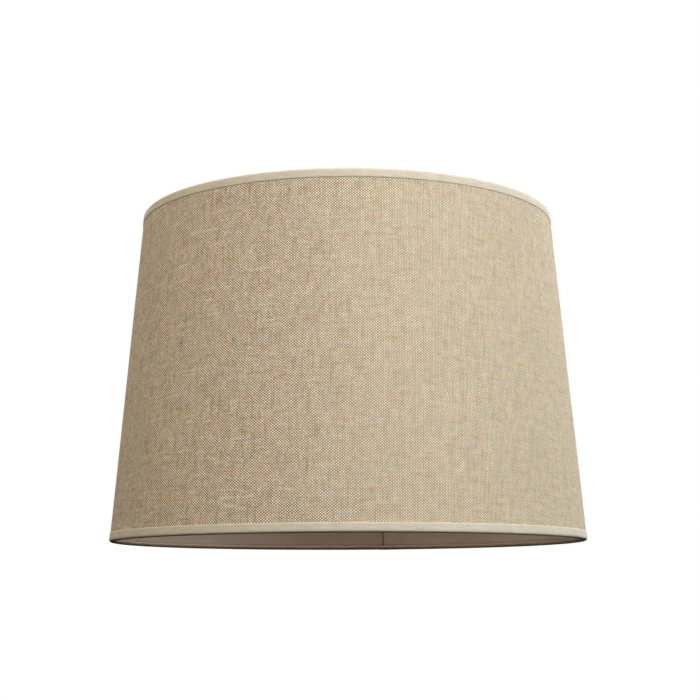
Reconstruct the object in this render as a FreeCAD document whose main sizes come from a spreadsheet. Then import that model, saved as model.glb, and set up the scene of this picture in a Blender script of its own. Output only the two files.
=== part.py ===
import FreeCAD, Part

# Tapered drum lamp shade with a three-armed spider, in millimetres, +Z up. The origin is the
# centre of the circle that the shade rests on. Azimuths are degrees about +Z from +X.
#
# A panel of fabric laminated to a plastic liner is wrapped round two wire rings. Its ends overlap
# at one upright seam. A folded tape binds each edge of the panel over its ring. Three bent wires
# join the top ring to the washer that sits on a lamp's harp.

import math
import os

import Sketcher

from FreeCAD import Placement, Rotation, Vector

SIZES = {
    "bottom_diameter": 406.4,  # over the fabric, at the foot
    "top_diameter": 358.0,  # over the fabric, at the top
    "height": 282.0,  # over both trims
    "liner_thickness": 0.4,
    "fabric_thickness": 0.6,
    "glue_thickness": 0.15,
    "glue_margin": 5.0,  # of the glue tape below the panel's top edge and above its bottom edge
    "ring_wire": 3.0,  # diameter
    "trim_thickness": 0.45,
    "trim_width": 7.6,  # of each trim, seen from outside
    "tuck_angle": 60.0,  # of the trim round its ring, past the ring's innermost point
    "seam_azimuth": 76.0,  # of the panel's outer end
    "lap_angle": 4.3,  # of the panel's overlap
    "ramp_angle": 4.3,  # over which the panel rises to its overlap
    "step_angle": 1.2,  # over which the trim comes down from the overlap
    "joint_angle": 0.12,  # of the gap between the trim's two ends
    "arm_azimuth": 30.0,  # of the first arm
    "arm_wire": 3.0,  # diameter
    "arm_slope": 45.0,  # of the arm's outer stretch, below level
    "arm_drop": 16.0,  # from the top ring to the arms' level run
    "arm_bend": 8.0,  # radius, on the wire's centre line
    "arm_root": 1.0,  # depth of the arm's outer end into the ring
    "arm_reach": 6.5,  # of the arm's inner end under the hub, from the hub's rim
    "arm_sink": 0.4,  # of the arm into the hub's underside
    "notch_clearance": 0.3,  # round an arm, where it passes through the trim
    "hub_diameter": 38.0,
    "hub_thickness": 1.6,
    "pad_diameter": 20.0,  # of the hub's raised middle
    "pad_rise": 1.0,
    "stud_hole": 11.1,  # diameter
    "hub_round": 0.4,  # of the hub's sharp edges
}
ARM_COUNT = 3

DERIVED = {
    # Wall. A layer's thickness measured level is its true thickness times the stretch.
    "wire_radius": "=Sizes.ring_wire / 2",
    "tape_radius": "=wire_radius + Sizes.trim_thickness",
    "taper": "=(Sizes.bottom_diameter - Sizes.top_diameter) / 2 / Sizes.height",
    "stretch": "=sqrt(1 + taper * taper)",
    "lean": "=atan(taper)",
    "low": "=tape_radius",
    "top": "=Sizes.height - tape_radius",
    "fabric": "=Sizes.fabric_thickness * stretch",
    "panel": "=(Sizes.fabric_thickness + Sizes.liner_thickness) * stretch",
    "glue": "=Sizes.glue_thickness * stretch",
    "tape": "=Sizes.trim_thickness * stretch",
    "lift": "=panel + glue",
    "contact": "=wire_radius * sin(lean)",
    # Panel edges, where the wall is tangent to the rings.
    "edge_low": "=low + contact",
    "edge_top": "=top + contact",
    "outer_low": "=Sizes.bottom_diameter / 2 - taper * edge_low",
    "outer_top": "=Sizes.bottom_diameter / 2 - taper * edge_top",
    "middle_low": "=outer_low - fabric",
    "middle_top": "=outer_top - fabric",
    "inner_low": "=outer_low - panel",
    "inner_top": "=outer_top - panel",
    # Glue tape in the seam.
    "glue_low": "=edge_low + Sizes.glue_margin",
    "glue_top": "=edge_top - Sizes.glue_margin",
    "glue_back_low": "=outer_low - taper * Sizes.glue_margin",
    "glue_back_top": "=outer_top + taper * Sizes.glue_margin",
    # Rings.
    "ring_low": "=inner_low - wire_radius * cos(lean)",
    "ring_top": "=inner_top - wire_radius * cos(lean)",
    # Trims.
    "corner_low": "=ring_low + panel",
    "corner_top": "=ring_top + panel",
    "flange_low": "=Sizes.trim_width",
    "flange_top": "=Sizes.height - Sizes.trim_width",
    "flange_low_face": "=Sizes.bottom_diameter / 2 - taper * flange_low",
    "flange_top_face": "=Sizes.bottom_diameter / 2 - taper * flange_top",
    "tuck": "=wire_radius * sin(Sizes.tuck_angle)",
    "tuck_outside": "=tape_radius * sin(Sizes.tuck_angle)",
    "tuck_low": "=low + tuck",
    "tuck_low_outside": "=low + tuck_outside",
    "tuck_top": "=top - tuck",
    "tuck_top_outside": "=top - tuck_outside",
    # Azimuths, and the angles that the main part of the panel and of the trims go round.
    "seam": "=Sizes.seam_azimuth",
    "lap_end": "=seam + Sizes.lap_angle",
    "ramp_end": "=lap_end + Sizes.ramp_angle",
    "step_end": "=seam - Sizes.step_angle",
    "joint": "=seam + Sizes.joint_angle",
    "panel_turn": "=360 - Sizes.ramp_angle",
    "trim_turn": "=360 - Sizes.ramp_angle - Sizes.lap_angle - Sizes.step_angle",
    "trim_lap_turn": "=Sizes.lap_angle - Sizes.joint_angle",
    # Spider.
    "arm_radius": "=Sizes.arm_wire / 2",
    "root": "=wire_radius - Sizes.arm_root",
    "root_radius": "=ring_top - root * cos(Sizes.arm_slope)",
    "root_level": "=top - root * sin(Sizes.arm_slope)",
    "run_level": "=top - Sizes.arm_drop",
    "arm_end": "=Sizes.hub_diameter / 2 - Sizes.arm_reach",
    "notch_half": "=arm_radius + Sizes.notch_clearance",
    "notch_low": "=top - tape_radius - Sizes.notch_clearance",
    "notch_top": "=top + arm_radius * cos(Sizes.arm_slope) + Sizes.notch_clearance",
    "hub_low": "=run_level + arm_radius - Sizes.arm_sink",
    "hub_recess": "=hub_low + Sizes.pad_rise",
    "hub_face": "=hub_low + Sizes.hub_thickness",
    "pad_face": "=hub_face + Sizes.pad_rise",
    "hub_radius": "=Sizes.hub_diameter / 2",
    "pad_radius": "=Sizes.pad_diameter / 2",
    "recess_radius": "=pad_radius - Sizes.hub_thickness / 2",
    "stud_radius": "=Sizes.stud_hole / 2",
}

doc = FreeCAD.newDocument("LampShade")


def add_sheet(name, cells):
    sheet = doc.addObject("Spreadsheet::Sheet", name)
    for row, (alias, content) in enumerate(cells.items(), start=1):
        sheet.set(f"A{row}", alias)
        sheet.set(f"B{row}", str(content))
        sheet.setAlias(f"B{row}", alias)
    return sheet


add_sheet("Sizes", SIZES)
derived = add_sheet("Derived", DERIVED)
doc.recompute()


def named(*cells):
    """The expression that adds up some of the derived sizes."""
    return " + ".join(f"Derived.{cell}" for cell in cells)


def number(*cells):
    """The present value of that sum."""
    return sum(float(getattr(derived, cell)) for cell in cells)


def new_body(name, turn=None):
    """An empty body. With a turn, it is rotated about +Z by that expression, in degrees."""
    body = doc.addObject("PartDesign::Body", name)
    body.Label = name
    body.Placement = Placement(Vector(0, 0, 0), Rotation(Vector(0, 0, 1), 0))
    if turn:
        body.setExpression(".Placement.Rotation.Angle", turn)
    return body


def origin_part(body, role):
    return next(item for item in body.Origin.OriginFeatures if item.Role == role)


def upright_sketch(body, name, azimuth=None, plane="XZ_Plane"):
    """A sketch on an upright plane through the axis, with its y up, turned to an azimuth."""
    sketch = body.newObject("Sketcher::SketchObject", name)
    sketch.AttachmentSupport = [(origin_part(body, plane), "")]
    sketch.MapMode = "FlatFace"
    sketch.AttachmentOffset = Placement(Vector(0, 0, 0), Rotation(Vector(0, 1, 0), 0))
    if azimuth:
        sketch.setExpression(".AttachmentOffset.Rotation.Angle", azimuth)
    return sketch


def pin(sketch, geometry, point, x_cells=None, y_cells=None):
    """Hold a point of some geometry at derived sizes from the sketch's origin."""
    for kind, cells in (("DistanceX", x_cells), ("DistanceY", y_cells)):
        if cells:
            rule = Sketcher.Constraint(kind, -1, 1, geometry, point, number(*cells))
            index = sketch.addConstraint(rule)
            sketch.setExpression(f"Constraints[{index}]", named(*cells))


def size_circle(sketch, geometry, cell):
    index = sketch.addConstraint(Sketcher.Constraint("Radius", geometry, number(cell)))
    sketch.setExpression(f"Constraints[{index}]", named(cell))


def outline(sketch, corners):
    """A closed outline of straight lines, each corner held at derived sizes."""
    points = [Vector(number(*across), number(*up), 0) for across, up in corners]
    count = len(points)
    for index in range(count):
        sketch.addGeometry(Part.LineSegment(points[index], points[(index + 1) % count]))
    for index in range(count):
        sketch.addConstraint(Sketcher.Constraint("Coincident", index, 2, (index + 1) % count, 1))
        pin(sketch, index, 1, *corners[index])


def circle(sketch, across, up, radius):
    centre = Vector(number(*across), number(*up), 0)
    sketch.addGeometry(Part.Circle(centre, Vector(0, 0, 1), number(radius)))
    pin(sketch, 0, 3, across, up)
    size_circle(sketch, 0, radius)


def revolve(body, name, sketch, turn):
    feature = body.newObject("PartDesign::Revolution", name)
    feature.Profile = (sketch, [""])
    feature.ReferenceAxis = (origin_part(body, "Z_Axis"), [""])
    feature.setExpression("Angle", turn)
    doc.recompute()
    return feature


def bridge(body, name, first, second):
    """A straight-sided solid between two sections that have the same outline."""
    feature = body.newObject("PartDesign::AdditiveLoft", name)
    feature.Profile = (first, [""])
    feature.Sections = [(second, [""])]
    feature.Ruled = True
    doc.recompute()
    return feature


def wrapped_layer(name, faces):
    """One layer of the panel, with its outer end lifted over its inner end."""
    body = new_body(name)

    def section(part, azimuth, *lifts):
        sketch = upright_sketch(body, f"{name}_{part}", named(azimuth))
        back_low, face_low, face_top, back_top = faces
        outline(sketch, [
            ((back_low, *lifts), ("edge_low",)),
            ((face_low, *lifts), ("edge_low",)),
            ((face_top, *lifts), ("edge_top",)),
            ((back_top, *lifts), ("edge_top",)),
        ])
        return sketch

    main = section("main", "ramp_end")
    ramp_foot = section("ramp_foot", "ramp_end")
    ramp_head = section("ramp_head", "lap_end", "lift")
    lap = section("lap", "seam", "lift")
    revolve(body, f"{name}_round", main, named("panel_turn"))
    bridge(body, f"{name}_ramp", ramp_foot, ramp_head)
    revolve(body, f"{name}_overlap", lap, "Sizes.lap_angle")
    return body


def glue_tape():
    name = "seam_glue_tape"
    body = new_body(name)
    sketch = upright_sketch(body, f"{name}_section", named("seam"))
    outline(sketch, [
        (("glue_back_low",), ("glue_low",)),
        (("glue_back_low", "glue"), ("glue_low",)),
        (("glue_back_top", "glue"), ("glue_top",)),
        (("glue_back_top",), ("glue_top",)),
    ])
    revolve(body, f"{name}_strip", sketch, "Sizes.lap_angle")
    return body


def ring(name, end):
    body = new_body(name)
    sketch = upright_sketch(body, f"{name}_section")
    circle(sketch, (f"ring_{end}",), (end,), "wire_radius")
    revolve(body, f"{name}_wire", sketch, "360")
    return body


def trim_section(body, name, end, azimuth, *lifts):
    """The trim's section: up the fabric, over the panel's edge and round the ring's inside.

    The geometry is 0 to 3, the arcs at the ring inside and outside the tape, then the arcs at the
    panel's corner inside and outside; 4 and 5, the level stretches between them; 6 and 7, the
    flange's two faces; 8 and 9, the tape's two edges.
    """
    sketch = upright_sketch(body, name, azimuth)
    side = -1 if end == "low" else 1
    level = number(end)
    lean = math.radians(number("lean"))
    tuck = math.radians(float(doc.Sizes.tuck_angle))
    centres = (
        Vector(number(f"ring_{end}"), level, 0),
        Vector(number(f"corner_{end}", *lifts), level, 0),
    )
    radii = ("wire_radius", "tape_radius")
    beyond = math.pi + side * tuck
    pole = side * math.pi / 2

    def spot(centre, radius, angle):
        return centre + Vector(math.cos(angle), math.sin(angle), 0) * number(radius)

    def arc(centre, radius, start, stop):
        if stop < start:
            start, stop = stop, start
        whole = Part.Circle(centre, Vector(0, 0, 1), number(radius))
        sketch.addGeometry(Part.ArcOfCircle(whole, start, stop))

    # An arc's first point is where its angle is least.
    inner_end = pole % (2 * math.pi)
    for radius in radii:
        arc(centres[0], radius, inner_end, beyond)
    for radius in radii:
        arc(centres[1], radius, pole, lean)
    at_ring_pole, at_tuck = (1, 2) if side > 0 else (2, 1)
    at_flange, at_corner_pole = (1, 2) if side > 0 else (2, 1)
    for radius in radii:
        start = spot(centres[0], radius, pole)
        stop = spot(centres[1], radius, pole)
        sketch.addGeometry(Part.LineSegment(start, stop))
    flange = f"flange_{end}"
    face_cells = ((f"{flange}_face", *lifts), (f"{flange}_face", "tape", *lifts))
    rims = [Vector(number(*cells), number(flange), 0) for cells in face_cells]
    for radius, rim in zip(radii, rims):
        sketch.addGeometry(Part.LineSegment(spot(centres[1], radius, lean), rim))
    sketch.addGeometry(Part.LineSegment(rims[0], rims[1]))
    tucked = [spot(centres[0], radius, beyond) for radius in radii]
    sketch.addGeometry(Part.LineSegment(tucked[0], tucked[1]))

    for face in (0, 1):
        ring_arc = face
        corner_arc = 2 + face
        level_line = 4 + face
        flange_line = 6 + face
        smooth = (
            (ring_arc, at_ring_pole, level_line, 1),
            (level_line, 2, corner_arc, at_corner_pole),
            (corner_arc, at_flange, flange_line, 1),
        )
        for first, first_point, second, second_point in smooth:
            sketch.addConstraint(
                Sketcher.Constraint("Tangent", first, first_point, second, second_point))
        sketch.addConstraint(Sketcher.Constraint("Coincident", flange_line, 2, 8, 1 + face))
        sketch.addConstraint(Sketcher.Constraint("Coincident", ring_arc, at_tuck, 9, 1 + face))
        size_circle(sketch, ring_arc, radii[face])
        size_circle(sketch, corner_arc, radii[face])
        pin(sketch, ring_arc, 3, (f"ring_{end}",), (end,))
        pin(sketch, corner_arc, 3, (f"corner_{end}", *lifts), (end,))
        pin(sketch, 8, 1 + face, face_cells[face], (flange,))
    pin(sketch, 9, 1, None, (f"tuck_{end}",))
    pin(sketch, 9, 2, None, (f"tuck_{end}_outside",))
    return sketch


def trim(name, end):
    """A binding tape, raised where it crosses the panel's overlap, with a joint in it there."""
    body = new_body(name)
    main = trim_section(body, f"{name}_main", end, named("ramp_end"))
    ramp_foot = trim_section(body, f"{name}_ramp_foot", end, named("ramp_end"))
    ramp_head = trim_section(body, f"{name}_ramp_head", end, named("lap_end"), "lift")
    lap = trim_section(body, f"{name}_lap", end, named("joint"), "lift")
    step_head = trim_section(body, f"{name}_step_head", end, named("seam"), "lift")
    step_foot = trim_section(body, f"{name}_step_foot", end, named("step_end"))
    revolve(body, f"{name}_round", main, named("trim_turn"))
    bridge(body, f"{name}_ramp", ramp_foot, ramp_head)
    revolve(body, f"{name}_overlap", lap, named("trim_lap_turn"))
    bridge(body, f"{name}_step", step_head, step_foot)
    return body


def repeat_round(body, name, feature, count):
    pattern = body.newObject("PartDesign::PolarPattern", name)
    pattern.Originals = [feature]
    pattern.Axis = (origin_part(body, "Z_Axis"), [""])
    pattern.Angle = 360
    pattern.Occurrences = count
    body.Tip = pattern
    doc.recompute()


def notch_trim(body):
    """Cut the top trim's tuck away where each arm passes through it."""
    sketch = upright_sketch(body, "arm_notch_outline", "Sizes.arm_azimuth", "YZ_Plane")
    low = number("notch_low")
    high = number("notch_top")
    half = number("notch_half")
    corners = [Vector(-half, low, 0), Vector(half, low, 0), Vector(half, high, 0)]
    corners.append(Vector(-half, high, 0))
    for index in range(4):
        sketch.addGeometry(Part.LineSegment(corners[index], corners[(index + 1) % 4]))
    for index in range(4):
        sketch.addConstraint(Sketcher.Constraint("Coincident", index, 2, (index + 1) % 4, 1))
    sketch.addConstraint(Sketcher.Constraint("Horizontal", 2))
    for index in (1, 3):
        sketch.addConstraint(Sketcher.Constraint("Vertical", index))
    pin(sketch, 1, 2, ("notch_half",), ("notch_top",))
    pin(sketch, 1, 1, None, ("notch_low",))
    sketch.addConstraint(Sketcher.Constraint("Symmetric", 0, 1, 0, 2, -2))
    notch = body.newObject("PartDesign::Pocket", "arm_notch")
    notch.Profile = (sketch, [""])
    notch.Reversed = True
    notch.setExpression("Length", named("ring_top"))
    doc.recompute()
    repeat_round(body, "arm_notches", notch, ARM_COUNT)


def spider_arm(index):
    """A wire from the top ring, down a slope and along a level run to under the hub."""
    name = f"spider_arm_{index + 1}"
    body = new_body(name, f"Sizes.arm_azimuth + {index * 360 // ARM_COUNT}")
    path = upright_sketch(body, f"{name}_path")
    root = Vector(number("root_radius"), number("root_level"), 0)
    end = Vector(number("arm_end"), number("run_level"), 0)
    slope = math.radians(float(doc.Sizes.arm_slope))
    bend = float(doc.Sizes.arm_bend)
    knee = root - Vector((root.y - end.y) / math.tan(slope), root.y - end.y, 0)
    reach = bend * math.tan(slope / 2)
    before = knee + Vector(math.cos(slope), math.sin(slope), 0) * reach
    after = knee - Vector(reach, 0, 0)
    centre = after + Vector(0, bend, 0)
    whole = Part.Circle(centre, Vector(0, 0, 1), bend)
    path.addGeometry(Part.LineSegment(end, after))
    path.addGeometry(Part.ArcOfCircle(whole, -math.pi / 2, slope - math.pi / 2))
    path.addGeometry(Part.LineSegment(before, root))
    path.addConstraint(Sketcher.Constraint("Tangent", 0, 2, 1, 1))
    path.addConstraint(Sketcher.Constraint("Tangent", 1, 2, 2, 1))
    path.addConstraint(Sketcher.Constraint("Horizontal", 0))
    pin(path, 0, 1, ("arm_end",), ("run_level",))
    pin(path, 2, 2, ("root_radius",), ("root_level",))
    index_of_bend = path.addConstraint(Sketcher.Constraint("Radius", 1, bend))
    path.setExpression(f"Constraints[{index_of_bend}]", "Sizes.arm_bend")
    index_of_slope = path.addConstraint(Sketcher.Constraint("Angle", -1, 1, 2, 1, slope))
    path.setExpression(f"Constraints[{index_of_slope}]", "Sizes.arm_slope")

    wire = upright_sketch(body, f"{name}_wire_section", None, "YZ_Plane")
    wire.setExpression(".AttachmentOffset.Base.z", named("arm_end"))
    wire.addGeometry(Part.Circle(Vector(0, end.y, 0), Vector(0, 0, 1), number("arm_radius")))
    wire.addConstraint(Sketcher.Constraint("PointOnObject", 0, 3, -2))
    pin(wire, 0, 3, None, ("run_level",))
    size_circle(wire, 0, "arm_radius")
    doc.recompute()
    pipe = body.newObject("PartDesign::AdditivePipe", f"{name}_wire")
    pipe.Profile = (wire, [""])
    pipe.Spine = (path, [])
    doc.recompute()

    saddle = upright_sketch(body, f"{name}_saddle_section")
    circle(saddle, ("ring_top",), ("top",), "wire_radius")
    cut = body.newObject("PartDesign::Groove", f"{name}_saddle")
    cut.Profile = (saddle, [""])
    cut.ReferenceAxis = (origin_part(body, "Z_Axis"), [""])
    cut.Angle = 360
    doc.recompute()
    return body


def hub():
    """The stamped washer: a raised middle with the stud's hole, and a groove over each arm."""
    name = "hub_washer"
    body = new_body(name, "Sizes.arm_azimuth")
    section = upright_sketch(body, f"{name}_section")
    outline(section, [
        (("stud_radius",), ("hub_recess",)),
        (("recess_radius",), ("hub_recess",)),
        (("recess_radius",), ("hub_low",)),
        (("hub_radius",), ("hub_low",)),
        (("hub_radius",), ("hub_face",)),
        (("pad_radius",), ("hub_face",)),
        (("pad_radius",), ("pad_face",)),
        (("stud_radius",), ("pad_face",)),
    ])
    revolve(body, f"{name}_disc", section, "360")
    seat = upright_sketch(body, f"{name}_seat_section", None, "YZ_Plane")
    seat.setExpression(".AttachmentOffset.Base.z", named("arm_end"))
    centre = Vector(0, number("run_level"), 0)
    seat.addGeometry(Part.Circle(centre, Vector(0, 0, 1), number("arm_radius")))
    seat.addConstraint(Sketcher.Constraint("PointOnObject", 0, 3, -2))
    pin(seat, 0, 3, None, ("run_level",))
    size_circle(seat, 0, "arm_radius")
    groove = body.newObject("PartDesign::Pocket", f"{name}_seat")
    groove.Profile = (seat, [""])
    groove.Reversed = True
    groove.setExpression("Length", named("hub_radius"))
    doc.recompute()
    repeat_round(body, f"{name}_seats", groove, ARM_COUNT)

    # The upper rim, the pad's rim and the hole's upper rim lose their sharpness.
    disc = body.Tip
    wanted = {
        (round(number("hub_radius"), 3), round(number("hub_face"), 3)),
        (round(number("pad_radius"), 3), round(number("pad_face"), 3)),
        (round(number("stud_radius"), 3), round(number("pad_face"), 3)),
    }
    edges = []
    for position, edge in enumerate(disc.Shape.Edges, start=1):
        if isinstance(edge.Curve, Part.Circle):
            key = (round(edge.Curve.Radius, 3), round(edge.Curve.Center.z, 3))
            if key in wanted:
                edges.append(f"Edge{position}")
    rounding = body.newObject("PartDesign::Fillet", f"{name}_rounding")
    rounding.Base = (disc, edges)
    rounding.setExpression("Radius", "Sizes.hub_round")
    body.Tip = rounding
    doc.recompute()
    return body


top_trim = trim("top_trim", "top")
notch_trim(top_trim)

nodes = [
    wrapped_layer("liner_panel", ("inner_low", "middle_low", "middle_top", "inner_top")),
    wrapped_layer("fabric_cover", ("middle_low", "outer_low", "outer_top", "middle_top")),
    glue_tape(),
    top_trim,
    trim("bottom_trim", "low"),
    ring("top_ring", "top"),
    ring("bottom_ring", "low"),
    hub(),
]
nodes += [spider_arm(index) for index in range(ARM_COUNT)]
doc.recompute()

for item in doc.Objects:
    if any(word in item.State for word in ("Invalid", "Error")):
        raise RuntimeError(f"{item.Name} has state {item.State}")

os.makedirs("parts", exist_ok=True)
for node in nodes:
    shape = node.Shape
    if shape.isNull() or not shape.isValid() or len(shape.Solids) != 1:
        raise RuntimeError(f"{node.Label} is not one valid solid")
    shape.exportStep(f"parts/{node.Label}.step")
    print(f"{node.Label}: {shape.Volume:.1f} mm3, {shape.BoundBox}")
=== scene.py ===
import math

import bpy
from mathutils import Matrix, Vector, noise


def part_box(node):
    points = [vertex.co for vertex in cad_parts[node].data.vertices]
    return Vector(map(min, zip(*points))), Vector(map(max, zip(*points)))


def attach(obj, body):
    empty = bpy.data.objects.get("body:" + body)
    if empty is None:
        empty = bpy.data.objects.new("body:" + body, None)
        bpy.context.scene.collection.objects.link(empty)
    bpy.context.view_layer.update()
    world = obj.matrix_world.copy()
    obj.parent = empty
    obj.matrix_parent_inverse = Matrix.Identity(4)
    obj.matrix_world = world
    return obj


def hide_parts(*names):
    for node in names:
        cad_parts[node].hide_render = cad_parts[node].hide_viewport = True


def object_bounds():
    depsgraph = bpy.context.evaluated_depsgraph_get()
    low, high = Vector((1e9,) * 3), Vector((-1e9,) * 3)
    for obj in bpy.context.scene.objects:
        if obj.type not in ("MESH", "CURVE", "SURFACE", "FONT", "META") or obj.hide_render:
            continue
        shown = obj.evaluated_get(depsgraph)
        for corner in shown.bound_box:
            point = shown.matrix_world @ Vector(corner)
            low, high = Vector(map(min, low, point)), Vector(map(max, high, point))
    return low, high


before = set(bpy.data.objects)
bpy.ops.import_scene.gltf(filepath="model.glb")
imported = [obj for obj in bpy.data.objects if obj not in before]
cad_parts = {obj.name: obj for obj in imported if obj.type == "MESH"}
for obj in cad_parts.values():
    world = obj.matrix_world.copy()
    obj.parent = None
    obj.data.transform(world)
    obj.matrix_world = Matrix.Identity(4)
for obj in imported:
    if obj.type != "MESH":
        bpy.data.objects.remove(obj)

cad_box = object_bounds()

# The shade in metres, +Z up, its seam at the back. Azimuths are degrees about +Z from +X.

MM = 0.001
SEAM_AZIMUTH = 76.0  # the panel's outer end
LAP_ANGLE = 4.3
RAMP_ANGLE = 4.3
STEP_ANGLE = 1.2
TRIM_LAP = (76.2, 80.15)  # the bindings' outer end, and their inner end beneath it
ARM_AZIMUTHS = (30.0, 150.0, 270.0)
ARM_SLOPE = math.radians(45.0)
ARM_BEND = 8 * MM
FABRIC = 0.6 * MM
LINER = 0.4 * MM
GLUE = 0.15 * MM
TAPE = 0.45 * MM
PRESSED = 0.12 * MM  # how far a binding's inner end lifts its outer end, where it laps over itself
TUCK = 60.0  # of a binding round its ring, in degrees past the ring's innermost point
LAP_TUCK = 14.0  # added to the tuck where a binding laps over itself
NOTCH_TUCK = -62.0  # the tuck at a notch round an arm, where the binding stops near its ring's top
NOTCH = 1.8 * MM  # half the width of the top binding's notch round each arm
NOTCH_SIDE = 0.04  # degrees over which a notch's side rises
RIPPLE_REACH = 40 * MM  # from an edge, where the ring holds the panel round, to the full ripple
BROAD_RIPPLE = 0.25 * MM
FINE_RIPPLE = 0.04 * MM
WARP_PITCH = 1.246 * MM
WEFT_PITCH = 1.043 * MM
TAPE_WARP_PITCH = 0.75 * MM
TAPE_WEFT_PITCH = 0.65 * MM

FLOOR = -1.75
FLOOR_RADIUS = 3.4
# Each lamp's name, azimuth to the right of the camera, elevation, distance, size, power and colour.
LAMPS = (
    ("key", 25, 25, 2.2, 1.2, 37, (0.95, 0.97, 1.0)),
    ("right", 65, 30, 2.2, 1.2, 45, (0.95, 1.0, 0.97)),
    ("left", -50, 30, 2.2, 1.2, 36, (1.0, 0.9, 0.73)),
    ("overhead", 55, 78, 2.2, 1.2, 20, (1.0, 0.84, 0.77)),
    ("back_left", -150, 25, 2.2, 1.4, 26, (1.0, 0.97, 0.92)),
    ("back_right", 145, 25, 2.2, 1.4, 36, (1.0, 0.98, 0.95)),
)
WORLD_COLOUR = (1.0, 0.92, 0.84)
WORLD_LIGHT = 0.008
CAMERA_LENS = 78.45
CAMERA_PLACE = (0.0, -1.3224, -0.0474)
CAMERA_TURN = (0.091, 9.245, 0.226)  # yaw to the right, pitch up and roll

cover_low, cover_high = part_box("fabric_cover")
top_low, top_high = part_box("top_trim")
bottom_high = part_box("bottom_trim")[1]
wire_low, wire_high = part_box("bottom_ring")
crown_low, crown_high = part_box("top_ring")
hub_low, hub_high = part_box("hub_washer")
arm_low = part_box("spider_arm_1")[0]

WIRE = (wire_high.z - wire_low.z) / 2
LOW = (wire_low.z + wire_high.z) / 2
TOP = (crown_low.z + crown_high.z) / 2
TAPER = (cover_high.x - (top_high.x - TAPE)) / (top_low.z - cover_low.z)
LEAN = math.atan(TAPER)
FOOT_RADIUS = cover_high.x + TAPER * cover_low.z
RING_RADIUS = {"low": wire_high.x - WIRE, "top": crown_high.x - WIRE}
NOTCH_ANGLE = math.degrees(NOTCH / RING_RADIUS["top"])
PANEL = FABRIC + LINER
LIFT = PANEL + GLUE
EDGE_LOW = cover_low.z
EDGE_TOP = cover_high.z
FLAT_EDGE = FOOT_RADIUS / math.sin(LEAN)  # the flat cut's outer radius
PANEL_STOP = SEAM_AZIMUTH + LAP_ANGLE + 360  # the panel's inner end
PANEL_MIDDLE = SEAM_AZIMUTH + LAP_ANGLE / 2 + 180  # opposite the seam


def wall_radius(height):
    """The cover's outer face, away from the seam."""
    return FOOT_RADIUS - TAPER * height


def smooth_step(value):
    value = min(max(value, 0.0), 1.0)
    return value * value * (3 - 2 * value)


def panel_lift(azimuth):
    """How far the wall's outer face stands out at the seam, where the panel laps over itself."""
    along = (azimuth - SEAM_AZIMUTH + 180) % 360 - 180
    if along < 0:
        return LIFT * smooth_step(1 + along / STEP_ANGLE)
    return LIFT * smooth_step(1 - (along - LAP_ANGLE) / RAMP_ANGLE)


def spot(radius, azimuth, height):
    angle = math.radians(azimuth)
    return Vector((radius * math.cos(angle), radius * math.sin(angle), height))


def spread(start, stop, step):
    """Evenly spaced values from start to stop, about a step apart, both ends included."""
    count = max(1, round(abs(stop - start) / step))
    return [start + (stop - start) * index / count for index in range(count + 1)]


# Meshes


def add_piece(name, points, faces, material, maps=None, flat_faces=()):
    """A mesh piece on the root body. maps gives each UV map's name one UV for each vertex."""
    mesh = bpy.data.meshes.new(name)
    mesh.from_pydata(points, [], faces)
    flat = set(flat_faces)
    mesh.polygons.foreach_set("use_smooth", [index not in flat for index in range(len(faces))])
    for title, places in (maps or {}).items():
        layer = mesh.uv_layers.new(name=title)
        layer.data.foreach_set("uv", [part for loop in mesh.loops for part in places[loop.vertex_index]])
    mesh.materials.append(material)
    mesh.validate()
    piece = bpy.data.objects.new(name, mesh)
    bpy.context.scene.collection.objects.link(piece)
    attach(piece, "root")
    return piece


def grid_faces(columns, rows, first=0, flip=False):
    """Faces of a grid whose vertices run up each column in turn."""
    faces = []
    for column in range(columns - 1):
        for row in range(rows - 1):
            a = first + column * rows + row
            b = a + rows
            face = (a, b, b + 1, a + 1)
            faces.append(face[::-1] if flip else face)
    return faces


def flat_place(azimuth, height):
    """Where a point of the wall lies on the flat cloth, from the place opposite the seam at height 0."""
    radius = FLAT_EDGE - height / math.cos(LEAN)
    angle = math.radians(azimuth - PANEL_MIDDLE) * math.sin(LEAN)
    return radius * math.sin(angle), FLAT_EDGE - radius * math.cos(angle)


def bake_strips(mesh, place, strips, length, height, hidden):
    """Lays a long band on the bake map as stacked strips, with its hidden faces in the rest.

    place gives how far along and up the band each vertex lies. hidden is the share of the map
    kept for the faces that never show, those past the band's height.
    """
    layer = mesh.uv_layers.new(name="OFBake")
    tall = (1 - hidden) / strips
    margin = 0.02
    corners = []
    for polygon in mesh.polygons:
        spots = [place[vertex] for vertex in polygon.vertices]
        middle = sum(along for along, up in spots) / len(spots)
        shown = all(up <= height * 1.001 for along, up in spots)
        strip = min(strips - 1, int(middle / length * strips))
        for along, up in spots:
            if shown:
                inside = margin + (1 - 2 * margin) * up / height
                corners += (along / length * strips - strip, (strip + inside) * tall)
            else:
                beyond = min(max(up / height - 1, 0.0), 1.0)
                corners += (along / length, 1 - hidden * (0.95 - 0.9 * beyond))
    layer.data.foreach_set("uv", corners)


def ripple(point):
    """The slight unevenness of a laminated panel, which its rings hold round at both edges."""
    edge = min(point.z - EDGE_LOW, EDGE_TOP - point.z)
    held = smooth_step(edge / RIPPLE_REACH)
    broad = noise.noise(point * 13) * BROAD_RIPPLE
    fine = noise.noise(point * 55 + Vector((7, 0, 0))) * FINE_RIPPLE
    return (broad + fine) * held


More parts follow.
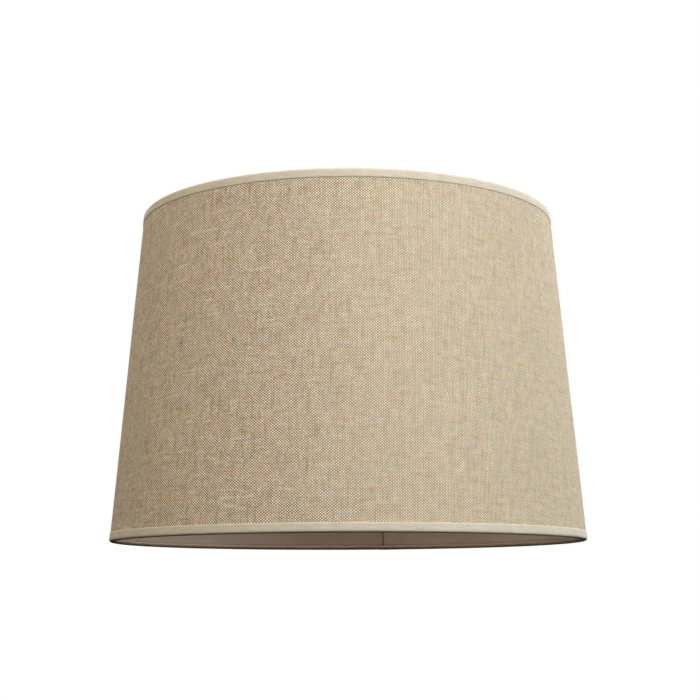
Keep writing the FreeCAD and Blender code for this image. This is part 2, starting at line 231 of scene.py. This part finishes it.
def wall_columns(start_round, thick):
    """The wall's columns as (azimuth, drop). The drop rounds off the panel's outer end."""
    columns = [(SEAM_AZIMUTH, 0)]
    if start_round:
        turn = math.degrees(start_round / FOOT_RADIUS)
        bends = [math.radians(quarter) for quarter in (90, 60, 30, 0)]
        columns = [
            (SEAM_AZIMUTH + turn * (1 - math.sin(bend)), thick * 0.9 * (1 - math.cos(bend)))
            for bend in bends
        ]
    ramp_end = SEAM_AZIMUTH + LAP_ANGLE + RAMP_ANGLE
    columns += [(azimuth, 0) for azimuth in spread(columns[-1][0], ramp_end, 0.25)[1:]]
    columns += [(azimuth, 0) for azimuth in spread(ramp_end, PANEL_STOP, 0.5)[1:]]
    return columns


def wall_point(azimuth, height, depth):
    """A point of the panel, a depth below its outer face."""
    lift = panel_lift(azimuth) if azimuth < SEAM_AZIMUTH + 180 else 0
    radius = wall_radius(height) + (lift - depth) / math.cos(LEAN)
    return spot(radius + ripple(spot(radius, azimuth, height)), azimuth, height)


def wall_layer(name, face, back, start_round, material):
    """One layer of the panel. face and back are its two sides' depths below the outer face.

    The face side is a fine grid, and the back side, which never shows, is one face tall.
    start_round is the length over which the outer end is rounded off.
    """
    outward = face < back
    columns = wall_columns(start_round, abs(back - face))
    heights = spread(EDGE_LOW, EDGE_TOP, 4.5 * MM)
    points = []
    places = []
    cloth = []
    rows = len(heights)
    tall = heights[-1] - heights[0]
    length = math.radians(PANEL_STOP - SEAM_AZIMUTH) * FOOT_RADIUS
    for azimuth, drop in columns:
        along = math.radians(azimuth - SEAM_AZIMUTH) * FOOT_RADIUS
        for height in heights:
            points.append(wall_point(azimuth, height, face + (drop if outward else 0)))
            places.append((along, height - heights[0]))
            cloth.append(flat_place(azimuth, height))
    first_back = len(points)
    for azimuth, drop in columns:
        along = math.radians(azimuth - SEAM_AZIMUTH) * FOOT_RADIUS
        for height, up in ((heights[0], 1.1), (heights[-1], 1.9)):
            points.append(wall_point(azimuth, height, back))
            places.append((along, tall * up))
            cloth.append(flat_place(azimuth, height))
    count = len(columns)
    faces = grid_faces(count, rows, flip=not outward)
    faces += grid_faces(count, 2, first_back, flip=outward)
    for column in range(count - 1):
        a, b = column * rows, (column + 1) * rows
        c, d = first_back + column * 2, first_back + (column + 1) * 2
        low = (a, c, d, b)
        high = (b + rows - 1, d + 1, c + 1, a + rows - 1)
        faces += [low, high] if outward else [low[::-1], high[::-1]]
    for column in (0, count - 1):
        rim = [column * rows + row for row in range(rows)]
        rim += [first_back + column * 2 + 1, first_back + column * 2]
        faces.append(tuple(rim if (column == 0) == outward else rim[::-1]))
    ends = (len(faces) - 2, len(faces) - 1)
    piece = add_piece(name, points, faces, material, {"Weave": cloth}, ends)
    bake_strips(piece.data, places, 2, length, tall, 0.1)
    return piece


# Bindings


def binding_section(end, lift, tuck, flange):
    """A binding's inside face, from its edge on the wall to its tuck behind the ring.

    Each point has a radius, a height, the way the outside faces as an angle, and how far along the
    tape it lies.
    """
    side = -1 if end == "low" else 1
    level = LOW if end == "low" else TOP
    ring = RING_RADIUS[end]
    corner = ring + (PANEL + lift) / math.cos(LEAN)
    edge = wall_radius(flange) + lift / math.cos(LEAN)
    foot = (corner + WIRE * math.cos(LEAN), level + WIRE * math.sin(LEAN))
    profile = [
        (edge + (foot[0] - edge) * share, flange + (foot[1] - flange) * share, LEAN)
        for share in (0.0, 0.03, 0.08, 0.25, 0.5, 0.75)
    ]
    for angle in spread(LEAN, side * math.pi / 2, 0.26):
        profile.append((corner + WIRE * math.cos(angle), level + WIRE * math.sin(angle), angle))
    last = side * math.radians(180 + tuck)
    for share in (0, 0.1, 0.2, 0.3, 0.4, 0.5, 0.6, 0.7, 0.8, 0.88, 0.94, 0.98, 1):
        angle = side * math.pi / 2 + (last - side * math.pi / 2) * share
        profile.append((ring + WIRE * math.cos(angle), level + WIRE * math.sin(angle), angle))
    section = []
    along = 0.0
    for index, (radius, height, angle) in enumerate(profile):
        if index:
            before = profile[index - 1]
            along += math.hypot(radius - before[0], height - before[1])
        section.append((radius, height, angle, along))
    return section


def binding_columns(end):
    """The azimuths at which a binding's section is made, closer at the seam and at each notch."""
    lap_start, lap_stop = TRIM_LAP
    past_ramp = 86
    before_seam = 360 + 73
    columns = spread(lap_start, past_ramp, 0.25)
    columns += spread(past_ramp, before_seam, 0.5)[1:]
    columns += spread(before_seam, 360 + lap_stop, 0.25)[1:]
    if end == "top":
        for arm in ARM_AZIMUTHS:
            middle = arm if arm > lap_start else arm + 360
            columns += [middle - NOTCH_ANGLE - NOTCH_SIDE, middle - NOTCH_ANGLE]
            columns += [middle + NOTCH_ANGLE, middle + NOTCH_ANGLE + NOTCH_SIDE]
        columns.sort()
    return columns


def binding_tuck(end, azimuth, wander, lapped):
    """How far a binding goes round its ring at one azimuth, past the ring's innermost point."""
    if end == "top":
        nearest = min(abs((azimuth - arm + 180) % 360 - 180) for arm in ARM_AZIMUTHS)
        if nearest < NOTCH_ANGLE + NOTCH_SIDE / 2:
            return NOTCH_TUCK
    return TUCK + 12 * wander + (LAP_TUCK if lapped else 0)


def binding_sides(section, turned, lifted, seed):
    """A section's outside and inside faces as (radius, height, distance along the tape)."""
    width = section[-1][3]
    outside = []
    inside = []
    for radius, height, angle, along in section:
        way = Vector((math.cos(angle), math.sin(angle)))
        inmost = smooth_step((along - 0.62 * width) / (0.38 * width))
        pucker = noise.noise(turned * 46 + Vector((along * 90, 5, seed)))
        loose = inmost * (0.16 + 0.3 * pucker) * MM
        rounded = min(along, width - along) / (TAPE * 1.5)
        thick = TAPE * (0.15 + 0.85 * math.sqrt(1 - (1 - min(rounded, 1)) ** 2))
        base = max(loose, 0) + lifted
        inside.append((radius + way.x * base, height + way.y * base, along))
        top = base + thick
        outside.append((radius + way.x * top, height + way.y * top, along))
    return outside, inside


def binding(name, end, material):
    """A cloth tape folded over one edge of the panel and its ring, its ends lapped at the seam."""
    lap_start, lap_stop = TRIM_LAP
    columns = binding_columns(end)
    flange = top_low.z if end == "top" else bottom_high.z
    seed = flange * 40
    middle_radius = FOOT_RADIUS if end == "low" else crown_high.x
    points = []
    places = []
    cloth = []
    for azimuth in columns:
        turned = spot(1, azimuth, 0)
        over = 1 - smooth_step((azimuth - lap_stop) / 1.6)
        wander = noise.noise(turned * 9 + Vector((0, 0, seed)))
        shift = noise.noise(turned * 24 + Vector((3, 0, seed))) * 0.12 * MM
        tuck = binding_tuck(end, azimuth, wander, over > 0.5)
        section = binding_section(end, panel_lift(azimuth), tuck, flange + shift)
        width = section[-1][3]
        outside, inside = binding_sides(section, turned, over * PRESSED, seed)
        distance = math.radians(azimuth - lap_start) * middle_radius
        for radius, height, along in outside:
            points.append(spot(radius, azimuth, height))
            places.append((distance, along))
            cloth.append((distance, along))
        for radius, height, along in reversed(inside):
            points.append(spot(radius, azimuth, height))
            places.append((distance, width * 2.2 - along))
            cloth.append((distance, along))
    rows = len(section) * 2
    count = len(columns)
    faces = []
    for column in range(count - 1):
        for row in range(rows):
            a = column * rows + row
            b = column * rows + (row + 1) % rows
            face = (a, b, b + rows, a + rows)
            faces.append(face if end == "low" else face[::-1])
    start_cap = tuple(range(rows))
    stop_cap = tuple((count - 1) * rows + row for row in range(rows))
    faces.append(start_cap[::-1] if end == "low" else start_cap)
    faces.append(stop_cap if end == "low" else stop_cap[::-1])
    ends = (len(faces) - 2, len(faces) - 1)
    piece = add_piece(name, points, faces, material, {"Weave": cloth}, ends)
    longest = math.radians(columns[-1] - lap_start) * middle_radius
    bake_strips(piece.data, places, 10, longest, width * 1.06, 0.1)
    return piece, longest, width


# Spider


def tube(name, path, radius_at, material):
    """A wire along a path. radius_at gives its radius from the distance along it and the angle."""
    sides = 24
    points = []
    distance = 0.0
    for index, point in enumerate(path):
        before = path[max(index - 1, 0)]
        after = path[min(index + 1, len(path) - 1)]
        if index:
            distance += (point - before).length
        ahead = (after - before).normalized()
        side = ahead.cross(Vector((0, 0, 1))).normalized()
        up = side.cross(ahead)
        for step in range(sides):
            angle = 2 * math.pi * step / sides
            reach = radius_at(distance, angle)
            points.append(point + (side * math.cos(angle) + up * math.sin(angle)) * reach)
    faces = []
    for index in range(len(path) - 1):
        for step in range(sides):
            a = index * sides + step
            b = index * sides + (step + 1) % sides
            faces.append((a, a + sides, b + sides, b))
    faces.append(tuple(range(sides)))
    faces.append(tuple((len(path) - 1) * sides + step for step in range(sides))[::-1])
    return add_piece(name, points, faces, material)


def spider_arm(index, azimuth, material):
    """From the top ring down a slope, round a bend and level to under the hub, welded at both ends."""
    run = arm_low.z + WIRE
    inner = hub_high.x - 7 * MM
    reach = ARM_BEND * math.tan(ARM_SLOPE / 2)
    knee = RING_RADIUS["top"] - (TOP - run) / math.tan(ARM_SLOPE)
    slope_length = (TOP - run) / math.sin(ARM_SLOPE) - reach
    weld = [0, 0.6 * MM, 1.1 * MM] + spread(1.4 * MM, 5 * MM, 0.4 * MM)
    path = [
        (RING_RADIUS["top"] - along * math.cos(ARM_SLOPE), TOP - along * math.sin(ARM_SLOPE))
        for along in weld + spread(5 * MM, slope_length, 3 * MM)[1:]
    ]
    for angle in spread(ARM_SLOPE, 0, 0.08)[1:]:
        path.append((knee - reach + ARM_BEND * math.sin(angle), run + ARM_BEND * (1 - math.cos(angle))))
    path += [(radius, run) for radius in spread(knee - reach, hub_high.x + 1 * MM, 9 * MM)[1:]]
    path += [(radius, run) for radius in spread(hub_high.x + 1 * MM, inner, 0.6 * MM)[1:]]
    path = [spot(radius, azimuth, height) for radius, height in path]
    length = sum((b - a).length for a, b in zip(path, path[1:]))

    def radius_at(distance, angle):
        collar = math.exp(-(((distance - 1.9 * MM) / (0.75 * MM)) ** 2))
        lumps = 1 + 0.35 * noise.noise(Vector((math.cos(angle), math.sin(angle), distance * 900 + index)))
        near_hub = smooth_step((distance - length + 7 * MM) / (1.5 * MM))
        squash = 1 - 0.1 * near_hub * abs(math.sin(angle)) + 0.05 * near_hub * abs(math.cos(angle))
        tip = math.sqrt(max(0.12, 1 - (max(0, distance - length + 1.2 * MM) / (1.25 * MM)) ** 2))
        return WIRE * (1 + 0.3 * collar * lumps) * squash * tip

    piece = tube(f"arm_wire_{index + 1}", path, radius_at, material)
    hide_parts(f"spider_arm_{index + 1}")


def hub_profile():
    """A stamped washer's section: the points of its upper side, then those of its lower side."""
    thick = 1.6 * MM
    face = hub_low.z + thick
    pad = hub_high.z
    outer = hub_high.x
    hole = 5.55 * MM
    edge = 0.5 * MM
    pad_foot = 11.3 * MM
    pad_slope = 2 * MM
    upper = [
        (outer - edge + edge * math.sin(angle), face - edge + edge * math.cos(angle))
        for angle in spread(math.pi / 2, 0, 0.3)
    ]
    upper += [(radius, face) for radius in spread(outer - edge, pad_foot, 0.55 * MM)[1:]]
    for share in spread(0, 1, 0.12)[1:]:
        upper.append((pad_foot - pad_slope * share, face + (pad - face) * smooth_step(share)))
    upper += [(radius, pad) for radius in spread(pad_foot - pad_slope, hole + edge, 0.8 * MM)[1:]]
    upper += [
        (hole + edge - edge * math.sin(angle), pad - edge + edge * math.cos(angle))
        for angle in spread(0, math.pi / 2, 0.3)[1:]
    ]
    lower = [(hole, pad - thick + 0.1 * MM), (hole + 0.1 * MM, pad - thick)]
    lower += [(radius, pad - thick) for radius in spread(6.5 * MM, 8.3 * MM, 0.9 * MM)]
    for share in spread(0, 1, 0.15)[1:]:
        lower.append((8.3 * MM + 1.7 * MM * share, pad - thick + (face - pad) * smooth_step(share)))
    lower += [(radius, hub_low.z) for radius in spread(11 * MM, outer - edge, 2 * MM)]
    lower.append((outer - 0.15 * MM, hub_low.z + 0.05 * MM))
    lower.append((outer, hub_low.z + 0.3 * MM))
    return upper, lower


def hub(material):
    """A stamped washer: raised middle, rolled rim, and a small dent over each spot weld."""
    upper, lower = hub_profile()
    segments = 192
    weld_size = 2.1 * MM
    weld_depth = 0.28 * MM
    welds = [spot(15.6 * MM, azimuth, 0) for azimuth in ARM_AZIMUTHS]
    points = []
    for step in range(segments):
        azimuth = 360 * step / segments
        for radius, height in upper:
            point = spot(radius, azimuth, height)
            away = min((Vector((point.x, point.y, 0)) - weld).length for weld in welds)
            point.z -= weld_depth * (1 - smooth_step(away / weld_size))
            points.append(point)
        points += [spot(radius, azimuth, height) for radius, height in lower]
    rows = len(upper) + len(lower)
    faces = []
    for step in range(segments):
        after = (step + 1) % segments
        for row in range(rows):
            beside = (row + 1) % rows
            a, b = step * rows + row, step * rows + beside
            c, d = after * rows + beside, after * rows + row
            faces.append((d, c, b, a))
    piece = add_piece("hub_plate", points, faces, material)
    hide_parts("hub_washer")


# Materials

SHADED_RELIEF_PLACE = -0.13  # how far along the flat cloth, from its middle, its two threads differ most: painted relief shade, as grazing light gives it there
RELIEF = 0.3 * MM  # of the cover's weave
CREVICE_SHADE = 0.1  # painted shade at the bottom of the gaps between threads, as a tone
ARCH = 0.25  # a thread's rise along the cell where it is on top, as a share of its bulge
WARP_PALE = (0.9, 0.845, 0.73)
WARP_DARK = (0.72, 0.66, 0.545)
WARP_ROSE = (0.77, 0.66, 0.565)
WARP_FLAT_LIT = (0.62, 0.54, 0.415)
WEFT_KHAKI = (0.28, 0.17, 0.06)
WEFT_DARK = (0.08, 0.04, 0.012)
WEFT_RED = (0.24, 0.095, 0.03)
WEFT_OLIVE = (0.18, 0.135, 0.04)
WEFT_FLAT_LIT = (0.43, 0.35, 0.235)
SLUB_RED = (0.91, 0.82, 0.74)
TAPE_PALE = (0.52, 0.465, 0.38)
TAPE_DARK = (0.445, 0.395, 0.315)
SEAM_GLUE_AND_SHADOW = (0.13, 0.1, 0.075)
LINER_PALE = (0.72, 0.63, 0.545)
LINER_SHADE = (0.62, 0.535, 0.455)


class Shader:
    """A procedural material's nodes, with short ways to add them."""

    def __init__(self, name, **constants):
        self.material = bpy.data.materials.new(name)
        self.material.use_nodes = True
        self.tree = self.material.node_tree
        self.surface = self.tree.nodes["Principled BSDF"]
        for title, value in constants.items():
            self.surface.inputs[title.replace("_", " ")].default_value = value

    def join(self, value, socket):
        if isinstance(value, bpy.types.NodeSocket):
            self.tree.links.new(value, socket)
        else:
            socket.default_value = value

    def add(self, kind, inputs, output=0, **settings):
        """A node's output. inputs maps its socket names or numbers to numbers or other outputs."""
        node = self.tree.nodes.new("ShaderNode" + kind)
        for title, value in settings.items():
            setattr(node, title, value)
        for title, value in inputs.items():
            self.join(value, node.inputs[title])
        return node.outputs[output]

    def maths(self, operation, *values):
        return self.add("Math", dict(enumerate(values)), operation=operation)

    def noise(self, place, scale, detail=2.0, roughness=0.5):
        inputs = {"Vector": place, "Scale": scale, "Detail": detail, "Roughness": roughness}
        return self.add("TexNoise", inputs)

    def at(self, x, y, z=0.0):
        return self.add("CombineXYZ", {0: x, 1: y, 2: z})

    def within(self, value, low, high, start=0.0, stop=1.0):
        """value's smooth way from low to high, as a number from start to stop."""
        inputs = {0: value, 1: low, 2: high, 3: start, 4: stop}
        return self.add("MapRange", inputs, interpolation_type="SMOOTHSTEP")

    def mix(self, share, first, second, blend="MIX"):
        colours = [
            colour if isinstance(colour, bpy.types.NodeSocket) else (*colour, 1)
            for colour in (first, second)
        ]
        inputs = {0: share, 6: colours[0], 7: colours[1]}
        return self.add("Mix", inputs, 2, data_type="RGBA", blend_type=blend)

    def parts(self, vector):
        """A vector's x, y and z."""
        node = self.tree.nodes.new("ShaderNodeSeparateXYZ")
        self.join(vector, node.inputs[0])
        return tuple(node.outputs)

    def uv(self, title):
        """A UV map's x and y."""
        return self.parts(self.add("UVMap", {}, uv_map=title))[:2]

    def point(self):
        """The point's place in metres."""
        node = self.tree.nodes.new("ShaderNodeTexCoord")
        return node.outputs["Object"]

    def finish(self, colour, height=None, depth=0.0, roughness=None):
        self.join(colour, self.surface.inputs["Base Color"])
        if roughness is not None:
            self.join(roughness, self.surface.inputs["Roughness"])
        if height is not None:
            inputs = {"Strength": 1.0, "Distance": depth, "Height": height}
            self.join(self.add("Bump", inputs), self.surface.inputs["Normal"])
        return self.material


def weave(shader, warp_pitch, weft_pitch, fill, drift):
    """A plain weave: which thread is on top, its height, and each thread's number and coordinates."""
    x, y = shader.uv("Weave")
    place = shader.at(x, y)
    slow = shader.noise(place, 34, 2)
    slow_up = shader.noise(shader.at(y, x, 3.0), 34, 2)
    u = shader.maths("MULTIPLY_ADD", x, 1 / warp_pitch, shader.maths("MULTIPLY", slow, drift))
    v = shader.maths("MULTIPLY_ADD", y, 1 / weft_pitch, shader.maths("MULTIPLY", slow_up, drift))
    i = shader.maths("FLOOR", u)
    j = shader.maths("FLOOR", v)
    a = shader.maths("SUBTRACT", shader.maths("FRACT", u), 0.5)
    b = shader.maths("SUBTRACT", shader.maths("FRACT", v), 0.5)
    warp_on_top = shader.maths("FLOORED_MODULO", shader.maths("ADD", i, j), 2.0)

    def thread(across, along, number, length):
        """A round thread's height where it is on top. Its width changes slowly along it."""
        place = shader.at(shader.maths("MULTIPLY", number, 5.17), shader.maths("MULTIPLY", length, 0.12))
        width = shader.within(shader.noise(place, 1), 0.3, 0.7, fill - 0.06, fill + 0.02)
        share = shader.maths("DIVIDE", across, width)
        inside = shader.maths("SUBTRACT", 1.0, shader.maths("MULTIPLY", share, share))
        bulge = shader.maths("SQRT", shader.maths("MAXIMUM", inside, 0.0))
        arch = shader.maths("COSINE", shader.maths("MULTIPLY", along, math.pi))
        return shader.maths("MULTIPLY_ADD", arch, ARCH, bulge)

    warp = thread(a, b, i, v)
    weft = thread(b, a, j, u)
    lift = shader.maths("MULTIPLY", warp_on_top, shader.maths("SUBTRACT", warp, weft))
    height = shader.maths("ADD", weft, lift)
    return {"u": u, "v": v, "i": i, "j": j, "warp_on_top": warp_on_top, "height": height, "place": place}


def thread_colours(shader, threads):
    """The cover's warp and weft colours, which change along each thread."""
    warp_place = shader.maths("MULTIPLY", threads["i"], 5.17)
    weft_place = shader.maths("MULTIPLY", threads["j"], 5.17)

    def along(scale, turn):
        """Noise that runs along each thread: the warp's, then the weft's."""
        up = shader.at(warp_place, shader.maths("MULTIPLY", threads["v"], scale), turn)
        across = shader.at(shader.maths("MULTIPLY", threads["u"], scale), weft_place, turn)
        return shader.noise(up, 1, 1), shader.noise(across, 1, 1)

    warp_fleck, weft_fleck = along(0.35, 0.0)
    warp_streak, weft_streak = along(0.045, 9.0)
    warp_hue, weft_hue = along(0.11, 21.0)
    warp = shader.mix(shader.within(warp_fleck, 0.35, 0.65), WARP_DARK, WARP_PALE)
    warp = shader.mix(shader.within(warp_hue, 0.56, 0.7, 0.0, 0.55), warp, WARP_ROSE)
    warp = shader.mix(shader.within(warp_streak, 0.55, 0.72, 0.0, 0.35), warp, WEFT_KHAKI)
    weft = shader.mix(shader.within(weft_fleck, 0.35, 0.65), WEFT_DARK, WEFT_KHAKI)
    weft = shader.mix(shader.within(weft_hue, 0.44, 0.3, 0.0, 0.5), weft, WEFT_OLIVE)
    weft = shader.mix(shader.within(weft_streak, 0.5, 0.64, 0.0, 0.9), weft, WEFT_RED)
    weft = shader.mix(shader.within(weft_streak, 0.42, 0.3, 0.0, 0.28), weft, WARP_DARK)
    return warp, weft


def fabric_material():
    """Heathered plain weave: a cream warp up the shade, and a khaki to red-brown weft round it."""
    shader = Shader(
        "heathered_weave", Roughness=0.9, Sheen_Weight=0.04, Sheen_Roughness=0.5, Specular_IOR_Level=0.12,
    )
    threads = weave(shader, WARP_PITCH, WEFT_PITCH, 0.48, 0.9)
    place = threads["place"]

    def streak(across, up):
        """Noise drawn out along the cloth, with so many streaks a metre across it and up it."""
        return shader.noise(shader.add("Mapping", {"Vector": place, "Scale": (across, up, 1)}), 1, 2, 0.6)

    warp, weft = thread_colours(shader, threads)
    # Painted light: the threads' colours differ most at one place on the cloth, standing in for the shade
    # grazing light casts in the weave there, and come closer elsewhere, as under light straight on.
    from_shaded_relief = shader.maths("ABSOLUTE", shader.maths("SUBTRACT", shader.parts(place)[0], SHADED_RELIEF_PLACE))
    painted_flat_light = shader.within(from_shaded_relief, 0.06, 0.25, 0.0, 0.76)
    warp = shader.mix(painted_flat_light, warp, WARP_FLAT_LIT)
    weft = shader.mix(painted_flat_light, weft, WEFT_FLAT_LIT)
    colour = shader.mix(threads["warp_on_top"], weft, warp)
    # Painted shade: the colour darkens towards the bottom of the gaps between threads, as if shadowed
    # there. The mottle and streaks multiplied in after it are the cloth's own.
    crevice_shade_and_mottle = shader.within(threads["height"], 0.15, 0.9, CREVICE_SHADE, 1.0)
    mottle = shader.noise(place, 150, 2, 0.6)
    crevice_shade_and_mottle = shader.maths("MULTIPLY", crevice_shade_and_mottle, shader.within(mottle, 0.25, 0.75, 0.94, 1.06))
    crevice_shade_and_mottle = shader.maths("MULTIPLY", crevice_shade_and_mottle, shader.within(streak(420, 22), 0.3, 0.7, 0.95, 1.05))
    blush = shader.within(streak(60, 230), 0.3, 0.7)
    tint = shader.mix(blush, (0.975, 1.0, 1.03), (1.04, 0.985, 0.92))
    colour = shader.mix(1.0, colour, tint, "MULTIPLY")
    slubbed = shader.mix(1.0, colour, SLUB_RED, "MULTIPLY")
    colour = shader.mix(shader.within(streak(45, 600), 0.5, 0.72), colour, slubbed)
    colour = shader.mix(1.0, colour, shader.at(crevice_shade_and_mottle, crevice_shade_and_mottle, crevice_shade_and_mottle), "MULTIPLY")
    return shader.finish(colour, threads["height"], RELIEF)


def tape_material():
    """Plain cotton tape, finer than the cover's cloth."""
    shader = Shader(
        "cotton_tape", Roughness=0.82, Sheen_Weight=0.08, Sheen_Roughness=0.5, Specular_IOR_Level=0.25,
    )
    threads = weave(shader, TAPE_WARP_PITCH, TAPE_WEFT_PITCH, 0.49, 0.6)
    fleck = shader.noise(shader.at(shader.maths("MULTIPLY", threads["u"], 0.06), threads["j"]), 1, 2)
    mottle = shader.noise(threads["place"], 60, 3)
    colour = shader.mix(shader.within(fleck, 0.3, 0.7), TAPE_DARK, TAPE_PALE)
    # Painted shade: the tape darkens in the gaps between its threads. The mottle multiplied in after it is
    # the tape's own.
    crevice_shade_and_mottle = shader.within(threads["height"], 0.15, 0.9, 0.8, 1.0)
    crevice_shade_and_mottle = shader.maths("MULTIPLY", crevice_shade_and_mottle, shader.within(mottle, 0.3, 0.7, 0.96, 1.03))
    colour = shader.mix(1.0, colour, shader.at(crevice_shade_and_mottle, crevice_shade_and_mottle, crevice_shade_and_mottle), "MULTIPLY")
    return shader.finish(colour, threads["height"], 0.1 * MM)


def liner_material():
    """Matt off-white plastic sheet, with a dark line beside its inner end: a bead of glue and the painted
    shadow of the step there.
    """
    shader = Shader("matt_liner", Roughness=0.55, Specular_IOR_Level=0.35)
    x, y = shader.uv("Weave")
    place = shader.at(x, y)
    calender = shader.noise(shader.at(shader.maths("MULTIPLY", x, 0.12), y), 260, 2)
    grain = shader.noise(place, 700, 2)
    mottle = shader.noise(place, 14, 3)
    colour = shader.mix(shader.within(mottle, 0.3, 0.7), LINER_SHADE, LINER_PALE)
    colour = shader.mix(shader.within(calender, 0.35, 0.7, 0.0, 0.25), colour, LINER_SHADE)
    east, north = shader.parts(shader.point())[:2]
    azimuth = shader.maths("ARCTAN2", north, east)
    # The dark line beside the panel's inner end is partly glue and partly painted shadow of the step.
    bead = math.radians(SEAM_AZIMUTH + LAP_ANGLE - 0.2)
    from_bead = shader.maths("ABSOLUTE", shader.maths("SUBTRACT", azimuth, bead))
    glue_and_shadow = shader.within(from_bead, math.radians(0.1), math.radians(0.24), 0.75, 0.0)
    colour = shader.mix(glue_and_shadow, colour, SEAM_GLUE_AND_SHADOW)
    height = shader.maths("MULTIPLY_ADD", grain, 0.4, shader.maths("MULTIPLY", calender, 0.6))
    return shader.finish(colour, height, 0.05 * MM, shader.within(mottle, 0.3, 0.7, 0.48, 0.6))


def glue_material():
    """Clear double-sided tape, a little cloudy."""
    shader = Shader("clear_tape", Roughness=0.3, Specular_IOR_Level=0.5)
    bubbles = shader.noise(shader.point(), 900, 2)
    colour = shader.mix(shader.within(bubbles, 0.4, 0.6), (0.74, 0.71, 0.62), (0.84, 0.82, 0.74))
    return shader.finish(colour, bubbles, 0.02 * MM)


def powder_coat():
    """White powder coat, with its orange peel."""
    shader = Shader("powder_coat", Roughness=0.4, Specular_IOR_Level=0.5)
    peel = shader.noise(shader.point(), 1400, 2)
    wear = shader.noise(shader.point(), 60, 4, 0.6)
    colour = shader.mix(shader.within(wear, 0.35, 0.7), (0.83, 0.81, 0.77), (0.76, 0.73, 0.68))
    return shader.finish(colour, peel, 0.03 * MM, shader.within(wear, 0.3, 0.7, 0.34, 0.5))


def plated_material():
    """Satin nickel plate over drawn wire and stamped sheet, a little cloudy."""
    shader = Shader("satin_nickel", Metallic=1.0, Roughness=0.34, Specular_IOR_Level=0.5)
    brushed = shader.noise(shader.point(), 2400, 3)
    cloud = shader.noise(shader.point(), 90, 3, 0.6)
    colour = shader.mix(shader.within(cloud, 0.3, 0.7), (0.56, 0.54, 0.5), (0.68, 0.66, 0.63))
    return shader.finish(colour, brushed, 0.02 * MM, shader.within(cloud, 0.3, 0.7, 0.27, 0.42))


fabric = fabric_material()
tape = tape_material()
liner = liner_material()
powder = powder_coat()
plated = plated_material()


# The pieces

wall = wall_layer("liner_wall", PANEL, FABRIC, 0, liner)
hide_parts("liner_panel")

cover = wall_layer("woven_cover", 0, FABRIC, 0.5 * MM, fabric)
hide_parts("fabric_cover")

for name, end, node in (("top_binding", "top", "top_trim"), ("bottom_binding", "low", "bottom_trim")):
    piece, length, width = binding(name, end, tape)
    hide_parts(node)

for index, azimuth in enumerate(ARM_AZIMUTHS):
    spider_arm(index, azimuth, plated)
hub(plated)

for node, material in (("top_ring", powder), ("bottom_ring", powder), ("seam_glue_tape", glue_material())):
    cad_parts[node].data.materials.clear()
    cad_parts[node].data.materials.append(material)


# Floor, light and camera


def add_floor():
    """A pale round floor, well below the shade, which throws no light back on it."""
    sides = 96
    points = [spot(FLOOR_RADIUS, 360 * step / sides, FLOOR) for step in range(sides)]
    mesh = bpy.data.meshes.new("studio_floor")
    mesh.from_pydata(points, [], [tuple(range(sides))])
    paint = Shader("floor_paint", Roughness=0.7)
    dust = paint.noise(paint.point(), 6, 3)
    mesh.materials.append(paint.finish(paint.mix(dust, (0.86, 0.855, 0.85), (0.9, 0.895, 0.89))))
    floor = bpy.data.objects.new("studio_floor", mesh)
    bpy.context.scene.collection.objects.link(floor)
    floor.visible_diffuse = False
    floor.visible_glossy = False


def add_lamp(middle, name, azimuth, elevation, distance, size, watts, colour):
    """A round area lamp that faces the shade's middle."""
    lamp = bpy.data.lights.new(name, "AREA")
    lamp.shape = "DISK"
    lamp.size = size
    lamp.energy = watts
    lamp.color = colour
    way = spot(math.cos(math.radians(elevation)), azimuth - 90, math.sin(math.radians(elevation)))
    holder = bpy.data.objects.new(name, lamp)
    holder.location = Vector(middle) + way * distance
    holder.rotation_euler = way.to_track_quat("Z", "Y").to_euler()
    bpy.context.scene.collection.objects.link(holder)


def add_world():
    """White to the camera, and a dim fill light to everything else."""
    world = bpy.data.worlds.new("studio")
    world.use_nodes = True
    bpy.context.scene.world = world
    nodes = world.node_tree.nodes
    links = world.node_tree.links
    dim = nodes["Background"]
    dim.inputs["Color"].default_value = (*WORLD_COLOUR, 1)
    dim.inputs["Strength"].default_value = WORLD_LIGHT
    white = nodes.new("ShaderNodeBackground")
    white.inputs["Color"].default_value = (1, 1, 1, 1)
    white.inputs["Strength"].default_value = 1.0
    path = nodes.new("ShaderNodeLightPath")
    chosen = nodes.new("ShaderNodeMixShader")
    links.new(path.outputs["Is Camera Ray"], chosen.inputs[0])
    links.new(dim.outputs[0], chosen.inputs[1])
    links.new(white.outputs[0], chosen.inputs[2])
    links.new(chosen.outputs[0], nodes["World Output"].inputs["Surface"])


def add_camera():
    """The camera, turned from level and facing +Y by its yaw, pitch and roll."""
    eye = bpy.data.cameras.new("camera")
    eye.lens = CAMERA_LENS
    eye.sensor_width = 36.0
    camera = bpy.data.objects.new("camera", eye)
    yaw, pitch, roll = (math.radians(angle) for angle in CAMERA_TURN)
    aim = Matrix.Rotation(-yaw, 4, "Z") @ Matrix.Rotation(math.pi / 2 + pitch, 4, "X")
    camera.matrix_world = Matrix.Translation(CAMERA_PLACE) @ aim @ Matrix.Rotation(-roll, 4, "Z")
    bpy.context.scene.collection.objects.link(camera)
    bpy.context.scene.camera = camera


add_floor()
for lamp in LAMPS:
    add_lamp((cad_box[0] + cad_box[1]) / 2, *lamp)
add_world()
add_camera()
bpy.context.scene.view_settings.view_transform = "Standard"
bpy.context.scene.view_settings.look = "None"
